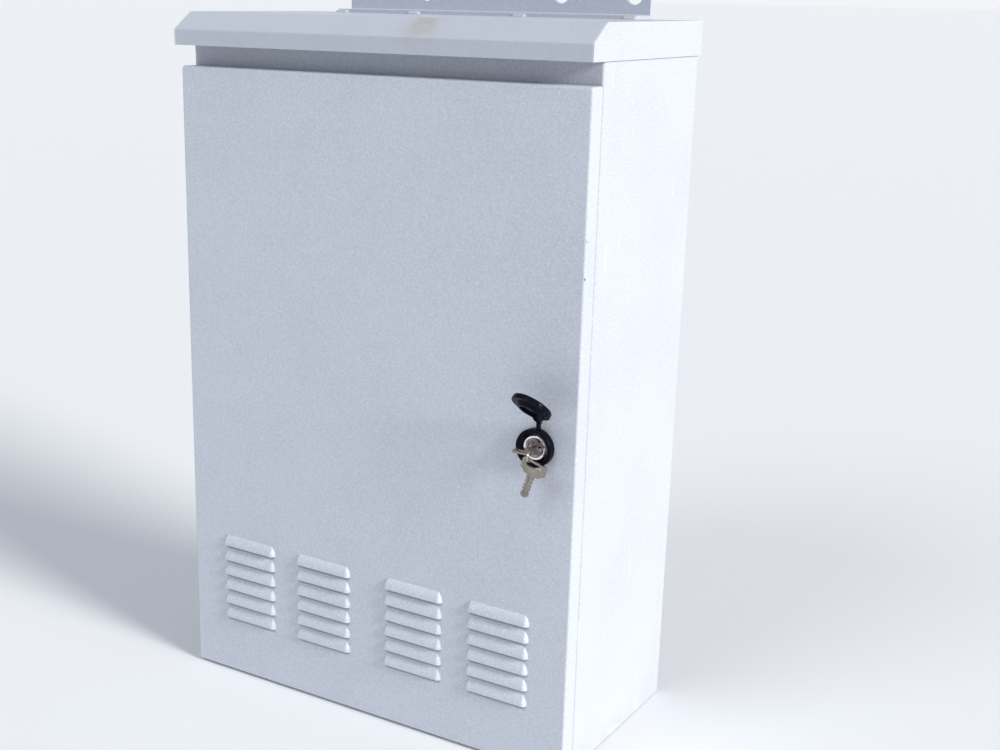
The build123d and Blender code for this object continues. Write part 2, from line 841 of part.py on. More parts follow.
with BuildPart() as grille_nuts:
    with BuildSketch(facing_door(grille_rear)):
        with Locations((0, filter_centre)):
            with grille_stud_places():
                RegularPolygon(small_nut_flats / 2, 6, major_radius=False)
                Circle((small_thread + thread_clearance) / 2, mode=Mode.SUBTRACT)
    extrude(amount=-small_nut_height)
grille_nuts.part.label = "grille_nuts"
export_step(grille_nuts.part, "parts/grille_nuts.step")


# Lock: pieces turned about its axis are drawn on this plane as radius and distance out of the door
lock_section = Plane(origin=(lock_x, 0, lock_z), x_dir=(1, 0, 0), z_dir=(0, 0, -1))
lock_axis = Axis((lock_x, 0, lock_z), (0, 1, 0))
head_seat = barrel_face + barrel_head_height
barrel_bore = plug_radius + plug_play
cap_out = Vector(0, -1, 0)
cap_up = Vector(sin(radians(cap_turn)), 0, cos(radians(cap_turn)))
cap_along = Vector(cos(radians(cap_turn)), 0, -sin(radians(cap_turn)))
cap_hinge_y = bezel_front - cap_seat_gap - cap_thickness / 2
cap_hinge = Vector(lock_x, cap_hinge_y, lock_z) + cap_up * cap_hinge_radius
hinge_section = Plane(origin=cap_hinge, x_dir=cap_up, z_dir=cap_along)
tongue_start = bezel_radius - tongue_root

# Bezel: a black ring with a funnel mouth and a tongue that carries the cap's pin
with BuildPart() as lock_bezel:
    with BuildSketch(lock_section):
        with BuildLine():
            Polyline(
                (barrel_radius + lock_fit, -door_front),
                (bezel_radius, -door_front),
                (bezel_radius, -bezel_front),
                (bezel_mouth, -bezel_front),
                (bezel_floor, -barrel_face),
                (barrel_head + lock_fit, -barrel_face),
                (barrel_head + lock_fit, -head_seat),
                (barrel_radius + lock_fit, -head_seat),
                close=True,
            )
        make_face()
    revolve(axis=lock_axis)
    fillet(lock_bezel.faces().sort_by(Axis.Y)[0].outer_wire().edges(), bezel_round)
    with BuildSketch(hinge_section.offset(-tongue_width / 2)):
        Circle(cap_knuckle)
        with Locations((tongue_start - cap_hinge_radius, cap_hinge_y - door_front + bezel_height / 2)):
            Rectangle(tongue_root, bezel_height / 2)
        make_hull()
        Circle(cap_pin_size / 2, mode=Mode.SUBTRACT)
    extrude(amount=tongue_width)
lock_bezel.part.label = "lock_bezel"
export_step(lock_bezel.part, "parts/lock_bezel.step")

# Barrel: chromed, with a ringed head in the bezel and a flatted shank through the door
with BuildPart() as lock_barrel:
    with BuildSketch(lock_section):
        with BuildLine():
            Polyline(
                (barrel_bore, -barrel_face - barrel_groove),
                (barrel_head - barrel_ring, -barrel_face - barrel_groove),
                (barrel_head - barrel_ring, -barrel_face),
                (barrel_head, -barrel_face),
                (barrel_head, -head_seat),
                (barrel_radius, -head_seat),
                (barrel_radius, -barrel_rear),
                (barrel_bore, -barrel_rear),
                close=True,
            )
        make_face()
    revolve(axis=lock_axis)
    with BuildSketch(at_lock(head_seat)):
        Circle(barrel_head)
        Rectangle(2 * barrel_head, barrel_flats, mode=Mode.SUBTRACT)
    extrude(amount=head_seat - barrel_rear, mode=Mode.SUBTRACT)
lock_barrel.part.label = "lock_barrel"
export_step(lock_barrel.part, "parts/lock_barrel.step")

# Washer and nut that clamp the bezel and the barrel to the door
with BuildPart() as lock_washer:
    with BuildSketch(at_lock(door_inner)):
        Circle(lock_washer_radius)
        Circle(barrel_radius + lock_fit, mode=Mode.SUBTRACT)
    extrude(amount=-lock_washer_height)
lock_washer.part.label = "lock_washer"
export_step(lock_washer.part, "parts/lock_washer.step")

with BuildPart() as lock_nut:
    with BuildSketch(at_lock(door_inner + lock_washer_height)):
        RegularPolygon(lock_nut_flats / 2, 6, major_radius=False)
        Circle(barrel_radius + lock_fit, mode=Mode.SUBTRACT)
    extrude(amount=-lock_nut_height)
lock_nut.part.label = "lock_nut"
export_step(lock_nut.part, "parts/lock_nut.step")

# Plug: a headed cylinder that the key turns, with the keyway in front and a square tail for the cam
plug_head = barrel_head - barrel_ring - plug_head_gap
plug_seat = barrel_face + barrel_groove - plug_end_play
cam_rear = cam_front + cam_sheet
plug_tail = cam_rear - plug_tail_gap

with BuildPart() as lock_plug:
    with BuildSketch(at_lock(plug_seat)):
        Circle(plug_head)
    extrude(amount=plug_seat - plug_face)
    with BuildSketch(at_lock(plug_seat)):
        Circle(plug_radius)
    extrude(amount=plug_seat - cam_front)
    with BuildSketch(at_lock(cam_front)):
        Rectangle(plug_square, plug_square)
    extrude(amount=cam_front - plug_tail)
    with BuildSketch(at_lock(plug_face)):
        Rectangle(key_blade_width + 2 * keyway_gap, key_sheet + 2 * keyway_gap)
    extrude(amount=-keyway_depth, mode=Mode.SUBTRACT)
    with BuildSketch(at_lock(plug_tail)):
        Circle((small_thread + thread_clearance) / 2)
    extrude(amount=cam_screw_bore, mode=Mode.SUBTRACT)
lock_plug.part.label = "lock_plug"
export_step(lock_plug.part, "parts/lock_plug.step")

# Cam: a flat arm that turns behind the box's flange, held on the plug's tail by a washer and a screw
with BuildPart() as cam:
    with BuildSketch(at_lock(cam_front)) as cam_outline:
        Circle(cam_width / 2)
        with Locations((0, cam_reach / 2)):
            Rectangle(cam_width, cam_reach)
        fillet(cam_outline.vertices().group_by(Axis.Y)[-1], cam_corner)
        Rectangle(plug_square + 2 * lock_fit, plug_square + 2 * lock_fit, mode=Mode.SUBTRACT)
    extrude(amount=-cam_sheet)
cam.part.label = "cam"
export_step(cam.part, "parts/cam.step")

with BuildPart() as cam_washer:
    with BuildSketch(at_lock(cam_rear)):
        Circle(cam_washer_radius)
        Circle((small_thread + thread_clearance) / 2, mode=Mode.SUBTRACT)
    extrude(amount=-cam_washer_height)
cam_washer.part.label = "cam_washer"
export_step(cam_washer.part, "parts/cam_washer.step")

with BuildPart() as cam_screw:
    with BuildSketch(at_lock(cam_rear + cam_washer_height)):
        RegularPolygon(cam_screw_flats / 2, 6, major_radius=False)
    extrude(amount=-cam_screw_height)
    with BuildSketch(at_lock(cam_rear + cam_washer_height)):
        Circle(small_thread / 2)
    extrude(amount=cam_screw_length)
cam_screw.part.label = "cam_screw"
export_step(cam_screw.part, "parts/cam_screw.step")


# Weather cap: a disc with a tapered plug, drawn where it stands open on its pin, and the pin itself
cap_pin_half = tongue_width / 2 + cap_arm_gap + cap_arm
cap_front = cap_thickness / 2
cap_rear = -cap_thickness / 2
cap_reach = cap_out * sin(radians(cap_open)) - cap_up * cos(radians(cap_open))
cap_normal = cap_out * cos(radians(cap_open)) + cap_up * sin(radians(cap_open))
cap_section = Plane(origin=cap_hinge, x_dir=cap_reach, z_dir=-cap_along)

with BuildPart() as cap_pin:
    with BuildSketch(hinge_section.offset(-cap_pin_half)):
        Circle(cap_pin_size / 2)
    extrude(amount=2 * cap_pin_half)
cap_pin.part.label = "cap_pin"
export_step(cap_pin.part, "parts/cap_pin.step")

with BuildPart() as lock_cap:
    with BuildSketch(cap_section):
        with BuildLine():
            Polyline(
                (cap_hinge_radius, cap_front),
                (cap_hinge_radius + cap_radius, cap_front),
                (cap_hinge_radius + cap_radius, cap_rear),
                (cap_hinge_radius + cap_plug_root, cap_rear),
                (cap_hinge_radius + cap_plug_tip, cap_rear - cap_plug_height),
                (cap_hinge_radius + cap_pocket, cap_rear - cap_plug_height),
                (cap_hinge_radius + cap_pocket, cap_rear - cap_plug_height + cap_pocket_depth),
                (cap_hinge_radius, cap_rear - cap_plug_height + cap_pocket_depth),
                close=True,
            )
        make_face()
    revolve(axis=Axis(cap_hinge + cap_reach * cap_hinge_radius, cap_normal))
    fillet(lock_cap.edges().filter_by(GeomType.CIRCLE).group_by(SortBy.RADIUS)[-1], cap_round)
    for side in (tongue_width / 2 + cap_arm_gap, -cap_pin_half):
        with BuildSketch(cap_section.offset(side)):
            Circle(cap_knuckle)
            with Locations((cap_hinge_radius - cap_radius + cap_arm_root, 0)):
                Rectangle(cap_arm_root, cap_thickness)
            make_hull()
            Circle(cap_pin_size / 2 + cap_pin_play, mode=Mode.SUBTRACT)
        extrude(amount=cap_arm)
lock_cap.part.label = "lock_cap"
export_step(lock_cap.part, "parts/lock_cap.step")


# Keys: a flat blank with a slotted bow and dimpled cuts, once in the lock and once hanging from a wire ring
def flat_key():
    """A key lying in the XY plane, with its bow's outer edge centred on the origin and its blade along -Y."""
    tip = -key_bow_depth - key_blade_length
    with BuildPart() as blank:
        with BuildSketch() as outline:
            with BuildLine():
                Polyline(
                    (0, 0),
                    (key_bow_width / 2, 0),
                    (key_bow_width / 2, key_shoulder - key_bow_depth),
                    (key_shoulder_half, -key_bow_depth),
                    (key_blade_width / 2, -key_bow_depth),
                    (key_blade_width / 2, tip + key_tip),
                    (key_blade_width / 2 - key_tip, tip),
                    (0, tip),
                )
                mirror(about=Plane.YZ)
            make_face()
            fillet(outline.vertices().group_by(Axis.Y)[-1], key_bow_corner)
            with Locations((0, -key_slot_edge - key_slot_width / 2)):
                SlotOverall(key_slot_length, key_slot_width, mode=Mode.SUBTRACT)
            with Locations(*[(key_blade_width / 2, -key_bow_depth - place) for place in key_notches]):
                Rectangle(key_notch, key_notch, rotation=45, mode=Mode.SUBTRACT)
        extrude(amount=key_sheet / 2, both=True)
    return blank.part


key_edge = plug_face + key_insert - key_blade_length - key_bow_depth
ring_centre = Vector(lock_x + ring_offset, key_edge + key_slot_edge / 2, lock_z - ring_drop)
spare_pivot = ring_centre - Vector(0, 0, ring_radius)
spare_along = Vector(cos(radians(spare_tilt)), 0, -sin(radians(spare_tilt)))
spare_up = Vector(sin(radians(spare_tilt)), 0, cos(radians(spare_tilt)))
spare_edge = spare_pivot + spare_along * spare_offset + spare_up * (ring_wire / 2 + spare_gap + key_slot_edge)

with BuildPart() as key:
    with Locations(Plane(origin=(lock_x, key_edge, lock_z), x_dir=(-1, 0, 0), z_dir=(0, 0, 1))):
        add(flat_key())
key.part.label = "key"
export_step(key.part, "parts/key.step")

with BuildPart() as spare_key:
    with Locations(Plane(origin=spare_edge, x_dir=spare_along, z_dir=(0, -1, 0))):
        add(flat_key())
spare_key.part.label = "spare_key"
export_step(spare_key.part, "parts/spare_key.step")

with BuildPart() as key_ring:
    with BuildSketch(Plane(origin=ring_centre, x_dir=(0, 1, 0), z_dir=(0, 0, 1))):
        with Locations((ring_radius, 0)):
            Circle(ring_wire / 2)
    revolve(axis=Axis(ring_centre, (1, 0, 0)), revolution_arc=360 - ring_split)
key_ring.part.label = "key_ring"
export_step(key_ring.part, "parts/key_ring.step")
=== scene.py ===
import math
import random

import bpy
from mathutils import Matrix, Vector


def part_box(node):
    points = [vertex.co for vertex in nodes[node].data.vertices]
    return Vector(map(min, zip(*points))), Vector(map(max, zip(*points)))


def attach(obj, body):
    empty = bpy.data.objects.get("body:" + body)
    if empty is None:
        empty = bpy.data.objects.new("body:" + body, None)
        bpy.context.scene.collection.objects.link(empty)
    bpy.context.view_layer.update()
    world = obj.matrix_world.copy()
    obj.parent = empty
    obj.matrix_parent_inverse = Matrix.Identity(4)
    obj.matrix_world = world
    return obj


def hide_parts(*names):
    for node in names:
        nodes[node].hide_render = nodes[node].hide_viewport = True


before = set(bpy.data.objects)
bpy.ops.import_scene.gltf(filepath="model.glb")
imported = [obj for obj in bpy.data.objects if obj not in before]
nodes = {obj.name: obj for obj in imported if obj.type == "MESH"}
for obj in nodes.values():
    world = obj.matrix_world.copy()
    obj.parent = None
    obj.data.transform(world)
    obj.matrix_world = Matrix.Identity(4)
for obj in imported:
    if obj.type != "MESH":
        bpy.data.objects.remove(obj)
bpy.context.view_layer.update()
random.seed(7)


# The view: the cabinet stands on its own flat underside, seen from above its right front corner by a small
# camera whose picture is cut out of a larger one, so its middle lies beside the lens's axis.
camera_place = Vector((0.6739, -1.0647, 0.6302))
camera_right = Vector((0.84249, 0.53848, 0.01623))
camera_up = Vector((-0.15991, 0.22120, 0.96208))
focal_pixels = 1427.8
axis_pixel = (434.5, 399.6)
frame_pixels = (1000, 750)

lens = bpy.data.cameras.new("view_camera")
lens.sensor_width = 36.0
lens.lens = lens.sensor_width * focal_pixels / frame_pixels[0]
lens.shift_x = (frame_pixels[0] / 2 - axis_pixel[0]) / frame_pixels[0]
lens.shift_y = (axis_pixel[1] - frame_pixels[1] / 2) / frame_pixels[0]
lens.clip_start = 0.01
camera = bpy.data.objects.new("view_camera", lens)
bpy.context.scene.collection.objects.link(camera)
camera_back = camera_right.cross(camera_up)
camera.matrix_world = Matrix.Translation(camera_place) @ Matrix(
    (camera_right, camera_up, camera_back)
).transposed().to_4x4()
bpy.context.scene.camera = camera
bpy.context.scene.view_settings.view_transform = "Standard"


# Folded box: one steel sheet bent into a tray, with a flange and a lip round the door's opening. Its light
# grey coat is baked on as dust, so it dries with a fine orange peel and small paler and darker grains.
class Shade:
    """One socket of a material's shader nodes, which sums and products take as if it were a number."""

    def __init__(self, tree, socket=None):
        self.tree = tree
        self.socket = socket

    def add(self, kind, settings=(), inputs=(), output=0):
        node = self.tree.nodes.new(kind)
        for name, value in dict(settings).items():
            setattr(node, name, value)
        for name, value in dict(inputs).items():
            if isinstance(value, Shade):
                self.tree.links.new(value.socket, node.inputs[name])
            else:
                node.inputs[name].default_value = value
        return Shade(self.tree, node.outputs[output])

    def worked(self, operation, first, second):
        return self.add("ShaderNodeMath", {"operation": operation}, {0: first, 1: second})

    def __add__(self, other):
        return self.worked("ADD", self, other)

    def __radd__(self, other):
        return self.worked("ADD", other, self)

    def __sub__(self, other):
        return self.worked("SUBTRACT", self, other)

    def __rsub__(self, other):
        return self.worked("SUBTRACT", other, self)

    def __mul__(self, other):
        return self.worked("MULTIPLY", self, other)

    def __rmul__(self, other):
        return self.worked("MULTIPLY", other, self)

    def size(self):
        """The value without its sign."""
        return self.worked("ABSOLUTE", self, 0.0)

    def between(self, low, high):
        """0 below low, 1 above high, and a smooth slope between them."""
        return self.add(
            "ShaderNodeMapRange",
            {"interpolation_type": "SMOOTHSTEP", "clamp": True},
            {"Value": self, "From Min": low, "From Max": high},
        )

    def colour(self, low, high):
        """The colour that runs from low to high as this Shade goes from 0 to 1."""
        return self.add(
            "ShaderNodeMix",
            {"data_type": "RGBA", "clamp_factor": True},
            {0: self, 6: low, 7: high},
            output=2,
        )

    def noise(self, scale, detail, roughness):
        """Cloudy noise on a place, about 0.5 in the middle, with lumps about 1 / scale metres wide."""
        return self.add(
            "ShaderNodeTexNoise",
            {},
            {"Vector": self, "Scale": scale, "Detail": detail, "Roughness": roughness},
        )

    def cells(self, scale, output="Distance"):
        """Rounded cells on a place, about 1 / scale metres wide."""
        return self.add("ShaderNodeTexVoronoi", {}, {"Vector": self, "Scale": scale}, output=output)

    def stretched(self, x, y, z):
        """A place whose patterns are squeezed by these factors along each axis."""
        return self.add("ShaderNodeVectorMath", {"operation": "MULTIPLY"}, {0: self, 1: (x, y, z)})

    def axis(self, name):
        """How far a place lies along X, Y or Z."""
        return self.add("ShaderNodeSeparateXYZ", {}, {0: self}, output=name)

    def near(self, centre, radius, reach):
        """1 within a ball about a centre, fading to 0 over reach."""
        away = self.add(
            "ShaderNodeVectorMath",
            {"operation": "DISTANCE"},
            {0: self, 1: centre},
            output="Value",
        )
        return 1.0 - away.between(radius, radius + reach)

    def bump(self, height, strength, distance):
        return self.add("ShaderNodeBump", {}, {"Height": height, "Strength": strength, "Distance": distance})


def rgb(red, green, blue):
    """A screen colour, 0 to 255, as the linear colour that a shader takes."""
    levels = (((c / 255 + 0.055) / 1.055) ** 2.4 if c > 10 else c / 3294.6 for c in (red, green, blue))
    return (*levels, 1.0)


def finish(name, **constants):
    """A new material with these constants, its object coordinates and a function that sets what varies."""
    material = bpy.data.materials.new(name)
    material.use_nodes = True
    tree = material.node_tree
    shader = tree.nodes["Principled BSDF"]
    for socket, value in constants.items():
        shader.inputs[socket.replace("_", " ")].default_value = value
    place = Shade(tree).add("ShaderNodeTexCoord", output="Object")

    def vary(**fields):
        for socket, field in fields.items():
            tree.links.new(field.socket, shader.inputs[socket.replace("_", " ")])
        return material

    return place, vary


coat_dark = rgb(182, 186, 197)
coat_mid = rgb(198, 202, 212)
coat_pale = rgb(213, 216, 225)
coat_dull_and_shade = rgb(160, 167, 181)


def powder_coat(name, marks=None, painted_shade=0.0):
    """Broad clouds, fine dark grains and pale flecks, an even painted shade if one is asked for, and a
    piece's own marks over them.
    """
    place, vary = finish(name, Specular_IOR_Level=0.4)
    grain = place.noise(560.0, 3.0, 0.75)
    fleck = place.noise(520.0, 2.0, 0.6)
    peel = place.noise(900.0, 1.0, 0.4)
    cloud = place.noise(9.0, 3.0, 0.55)
    level = grain.between(0.38, 0.62) * 0.7 + cloud.between(0.3, 0.7) * 0.3
    ground = level.colour(coat_dark, coat_mid)
    flecked = (fleck.between(0.55, 0.70) * 0.7).colour(ground, coat_pale)
    # the clouds vary the tone at random; any extra asked for is painted shade that greys the whole coat
    colour = (cloud * 0.2 + painted_shade - 0.1).colour(flecked, coat_dull_and_shade)
    if marks:
        colour = marks(place, colour)
    return vary(
        Base_Color=colour,
        Roughness=0.38 + 0.2 * grain,
        Normal=place.bump(peel * 0.6 + grain * 0.4, 0.3, 0.0002),
    )


def alone(piece):
    """Selects this piece and nothing else."""
    bpy.ops.object.select_all(action="DESELECT")
    piece.select_set(True)
    bpy.context.view_layer.objects.active = piece


def finished(piece, name, material, body, *replaced, angle=35):
    """Shades a piece's round stretches smooth and its flats flat, and gives it its finish and its body."""
    alone(piece)
    piece.name = name
    piece.data.name = name
    piece.data.materials.clear()
    piece.data.materials.append(material)
    bpy.ops.object.shade_smooth_by_angle(angle=math.radians(angle))
    flats = piece.modifiers.new("flats", "WEIGHTED_NORMAL")
    flats.keep_sharp = True
    bpy.ops.object.modifier_apply(modifier=flats.name)
    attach(piece, body)
    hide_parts(*replaced)
    return piece


def sheet_copy(node, body, name, material):
    """The CAD node's own form, with its loose triangles joined, under a finish."""
    piece = nodes[node].copy()
    piece.data = nodes[node].data.copy()
    piece.parent = None
    for key in [k for k in piece.keys() if k.startswith("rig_")]:
        del piece[key]
    bpy.context.scene.collection.objects.link(piece)
    alone(piece)
    bpy.ops.mesh.customdata_custom_splitnormals_clear()
    bpy.ops.object.mode_set(mode="EDIT")
    bpy.ops.mesh.select_all(action="SELECT")
    bpy.ops.mesh.remove_doubles(threshold=0.000002)
    bpy.ops.object.mode_set(mode="OBJECT")
    return finished(piece, name, material, body, node)


def box_marks(place, colour):
    """Dust along the foot, and upright scuffs from handling."""
    dust = (1.0 - place.axis("Z").between(0.0, 0.035)) * place.noise(60.0, 4.0, 0.6).between(0.35, 0.75)
    scuff = place.stretched(1.0, 1.0, 0.12).noise(90.0, 3.0, 0.6).between(0.66, 0.72)
    colour = (dust * 0.3).colour(colour, rgb(168, 164, 156))
    return (scuff * 0.35).colour(colour, rgb(222, 224, 230))


box_coat = powder_coat("box_coat", box_marks)
sheet_copy("body_shell", "cabinet", "painted_box", box_coat)


# Rain hood: one bent sheet between two cheeks, tacked to the box and coated with it. Its sheet, not the
# cheeks, is painted darker, part dust and part painted shade, and handling has left a faint brownish smudge
# on its sloping front, right of the middle.
smudge_place = (0.049, -0.098, 0.607)
sheet_half_width = 0.1998


def hood_dust_and_shade(place, colour):
    off_cheeks = 1.0 - place.axis("X").size().between(sheet_half_width, sheet_half_width + 0.0006)
    # dust and painted shade: the sheet, not its cheeks, is painted a darker grey
    dust = off_cheeks * (0.7 + 0.3 * place.noise(24.0, 4.0, 0.6))
    colour = (dust * 0.75).colour(colour, rgb(170, 175, 185))
    patch = place.near(smudge_place, 0.002, 0.028) * place.noise(42.0, 2.0, 0.5).between(0.25, 0.75)
    return (patch * 0.5).colour(colour, rgb(155, 142, 130))


sheet_copy("rain_hood", "cabinet", "painted_hood", powder_coat("hood_coat", hood_dust_and_shade))


# Hanging bracket: thicker sheet bent to an L and punched with two pairs of holes. Short weld beads along
# its foot hold it to the roof; each bead shows the ripples of the run, under the same coat.
# The bracket's coat, and so its weld beads', is painted darker all over: painted shade.
bracket_coat = powder_coat("bracket_coat", painted_shade=0.35)
sheet_copy("hanging_bracket", "cabinet", "painted_bracket", bracket_coat)


def turned(rings, sides, hollow=False):
    """A form turned about Z from rings of radius and height in millimetres, a disc drawn out and widened."""
    radius, height = rings[0]
    fill = "NOTHING" if hollow else "NGON"
    bpy.ops.object.select_all(action="DESELECT")
    bpy.ops.mesh.primitive_circle_add(vertices=sides, radius=radius / 1000, fill_type=fill)
    piece = bpy.context.object
    bpy.ops.object.mode_set(mode="EDIT")
    bpy.ops.mesh.select_all(action="SELECT")
    bpy.ops.transform.translate(value=(0, 0, height / 1000))
    for next_radius, next_height in rings[1:]:
        rise = (next_height - height) / 1000
        spread = next_radius / radius
        bpy.ops.mesh.extrude_region_move(TRANSFORM_OT_translate={"value": (0, 0, rise)})
        bpy.ops.transform.resize(value=(spread, spread, 1))
        radius, height = next_radius, next_height
    bpy.ops.mesh.select_all(action="SELECT")
    bpy.ops.mesh.remove_doubles(threshold=0.000001)
    bpy.ops.mesh.normals_make_consistent(inside=False)
    bpy.ops.object.mode_set(mode="OBJECT")
    return piece


def set_out(pattern, places, along=(0, 0, 1), across=(1, 0, 0), turn=0.0):
    """Copies of a form as one piece, each with its Z along a direction and turned by up to turn degrees."""
    along, across = Vector(along).normalized(), Vector(across).normalized()
    frame_axes = Matrix((across, along.cross(across), along)).transposed().to_4x4()
    copies = []
    for place in places:
        copy = pattern.copy()
        copy.data = pattern.data.copy()
        bpy.context.scene.collection.objects.link(copy)
        twist = Matrix.Rotation(math.radians(random.uniform(-turn, turn)), 4, "Z")
        copy.matrix_world = Matrix.Translation(place) @ frame_axes @ twist
        copies.append(copy)
    bpy.data.objects.remove(pattern)
    bpy.ops.object.select_all(action="DESELECT")
    for copy in copies:
        copy.select_set(True)
    bpy.context.view_layer.objects.active = copies[0]
    if len(copies) > 1:
        bpy.ops.object.join()
    bpy.ops.object.transform_apply(location=True, rotation=True, scale=True)
    return bpy.context.object


weld_low, weld_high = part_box("bracket_welds")
weld_length = 14.0
weld_radius = 2.5
weld_end_length = 2.4
weld_tip_radius = 0.4
ripple_steps = 28
furrow_share = 0.93
inner_welds = (-0.068, 0.042)
ripples = []
for step in range(1, ripple_steps):
    run = step / ripple_steps * weld_length
    from_end = min(run, weld_length - run) / weld_end_length
    radius = weld_radius * (math.sqrt(1 - (1 - from_end) ** 2) if from_end < 1 else 1.0)
    if step % 2 == 0:
        radius *= furrow_share
    ripples.append((max(radius, weld_tip_radius), run - weld_length / 2))
half_weld = weld_length / 2000
weld_places = [
    (x, weld_high.y, weld_low.z) for x in (weld_low.x + half_weld, *inner_welds, weld_high.x - half_weld)
]
beads = set_out(turned(ripples, 24), weld_places, along=(1, 0, 0), across=(0, 1, 0))
finished(beads, "weld_beads", bracket_coat, "cabinet", "bracket_welds", angle=50)


# Door: a folded tray with 24 pressed louvres, its ribs and hinge brackets spot-welded inside, coated as one.
# Painted shade darkens the gap under each louvre; knocks have chipped the right edge to dark steel in two
# places.
chip_places = ((0.1998, -0.1050, 0.4539), (0.1996, -0.1052, 0.4250))
chip_radius = 0.0007
chip_steels = (rgb(150, 148, 160), rgb(112, 108, 112))
first_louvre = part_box("door_panel")[0].z + 0.056
louvre_pitch = 0.0145
louvre_rows = 6
pair_middle = 0.091
column_from_middle = 0.0425


def door_marks(place, colour):
    """Painted shade in the gap under each louvre's open edge, and the chips."""
    rise = (place.axis("Z") - first_louvre) * (1 / louvre_pitch)
    top_row = louvre_rows - 1
    in_rows = rise.between(-0.35, -0.3) * (1.0 - rise.between(top_row + 0.02, top_row + 0.06))
    under_edge = rise.worked("FRACT", rise, 0.0).between(0.68, 0.82)
    from_column = ((place.axis("X").size() - pair_middle).size() - column_from_middle).size()
    painted_louvre_shade = under_edge * in_rows * (1.0 - from_column.between(0.025, 0.0305))
    # painted shade: a dark band under each louvre's open edge, where its shadow falls
    colour = (painted_louvre_shade * 0.6).colour(colour, rgb(96, 100, 112))
    ragged = place.noise(900.0, 3.0, 0.7)
    for centre, steel in zip(chip_places, chip_steels):
        knock = place.near(centre, chip_radius * 0.4, chip_radius * 1.8)
        chip = (knock + (ragged - 0.5) * 1.1).between(0.45, 0.6)
        colour = chip.colour(colour, steel)
    return colour


door_coat = powder_coat("door_coat", door_marks)
for node in ("door_panel", "door_ribs", "hinge_brackets"):
    sheet_copy(node, "door", "painted_" + node, door_coat)
sheet_copy("hinge_ears", "cabinet", "painted_hinge_ears", box_coat)


# Threaded studs, nuts and washers: steel, zinc plated to a bright, faintly yellow grey. The nuts are
# hexagons with their corners turned off at a slant, each left at its own angle when it was tightened.
def zinc_plate(name, spangle_size):
    """Bright zinc in paler and darker crystals, spangle_size of them to a metre."""
    place, vary = finish(name, Metallic=1.0)
    spangle = place.cells(spangle_size, "Color").axis("X")
    streak = place.noise(45.0, 4.0, 0.6)
    level = spangle * 0.4 + streak * 0.6
    return vary(
        Base_Color=level.colour(rgb(168, 170, 172), rgb(218, 217, 210)),
        Roughness=0.26 + 0.22 * streak,
        Normal=place.bump(streak, 0.12, 0.0002),
    )


fastener_zinc = zinc_plate("fastener_zinc", 900.0)


def trimmed(piece, other, operation):
    """A piece after another form has been cut from it, or kept as the limit of it."""
    alone(piece)
    trim = piece.modifiers.new("trim", "BOOLEAN")
    trim.operation = operation
    trim.object = other
    bpy.ops.object.modifier_apply(modifier=trim.name)
    bpy.data.objects.remove(other)
    return piece


def threaded(radius, length, pitch, sides=20):
    """A stud from its foot at zero, with thread ridges and a chamfered end."""
    root = radius - 0.6 * pitch
    rings = [(radius, 0.0), (radius, pitch)]
    turns = int((length - 2.5 * pitch) / pitch)
    for turn in range(turns):
        rings += [(root, pitch * (turn + 1.5)), (radius, pitch * (turn + 2))]
    rings += [(root, length)]
    return turned(rings, sides)


def hex_nut(flats, height):
    """A solid nut from zero up, its corners turned off at a slant at both ends."""
    corner = flats / math.sqrt(3)
    bpy.ops.object.select_all(action="DESELECT")
    bpy.ops.mesh.primitive_cylinder_add(
        vertices=6,
        radius=corner / 1000,
        depth=height / 1000,
        location=(0, 0, height / 2000),
    )
    nut = bpy.context.object
    bpy.ops.object.transform_apply(location=True, rotation=False, scale=False)
    inner = flats / 2 * 0.97
    outer = corner * 1.02
    slant = (outer - inner) * 0.577
    limit = turned([(inner, 0.0), (outer, slant), (outer, height - slant), (inner, height)], 48)
    return trimmed(nut, limit, "INTERSECT")


def washer(outer, bore, height):
    """A flat ring from zero up with its edges just broken."""
    soft = 0.15
    return turned(
        [
            (bore, 0.0),
            (outer - soft, 0.0),
            (outer, soft),
            (outer, height - soft),
            (outer - soft, height),
            (bore + soft, height),
            (bore, height - soft),
            (bore, 0.0),
        ],
        48,
        hollow=True,
    )


def grid(node, inset, columns, rows, depth_axis):
    """The places of a node's copies, in rows and columns within its box, with the depth axis left at zero."""
    low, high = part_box(node)
    rise_axis = 2 if depth_axis == 1 else 1
    places = []
    for column in range(columns):
        for row in range(rows):
            place = Vector((0, 0, 0))
            place.x = low.x + inset + (high.x - low.x - 2 * inset) * column / (columns - 1)
            start, end = low[rise_axis] + inset, high[rise_axis] - inset
            place[rise_axis] = start + (end - start) * row / (rows - 1)
            places.append(place)
    return places


def at_depth(places, depth_axis, depth):
    """The same places with the depth axis filled in."""
    return [Vector([depth if axis == depth_axis else place[axis] for axis in range(3)]) for place in places]


to_door = {"along": (0, -1, 0), "across": (1, 0, 0)}
to_wall = {"along": (0, 1, 0), "across": (1, 0, 0)}
plate_places = grid("plate_studs", 0.004, 2, 2, 1)
gland_places = grid("gland_studs", 0.002, 3, 2, 2)
grille_places = grid("grille_studs", 0.002, 3, 2, 1)


def foot_and_length(node, depth_axis, facing):
    """Where a node's copies start, in metres, and how long they are, in millimetres."""
    low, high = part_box(node)
    forward = facing.get("along", (0, 0, 1))[depth_axis] > 0
    return (low if forward else high)[depth_axis], (high[depth_axis] - low[depth_axis]) * 1000


def stud_row(node, body, places, depth_axis, radius, pitch, **facing):
    foot, length = foot_and_length(node, depth_axis, facing)
    studs = set_out(threaded(radius, length, pitch), at_depth(places, depth_axis, foot), turn=90, **facing)
    finished(studs, "zinc_" + node, fastener_zinc, body, node)


def nut_row(node, body, places, depth_axis, flats, **facing):
    foot, height = foot_and_length(node, depth_axis, facing)
    nuts = set_out(hex_nut(flats, height), at_depth(places, depth_axis, foot), turn=12, **facing)
    finished(nuts, "zinc_" + node, fastener_zinc, body, node)


def middle(node):
    """The middle of a node that has one copy, as a list of one place."""
    low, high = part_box(node)
    return [(low + high) / 2]


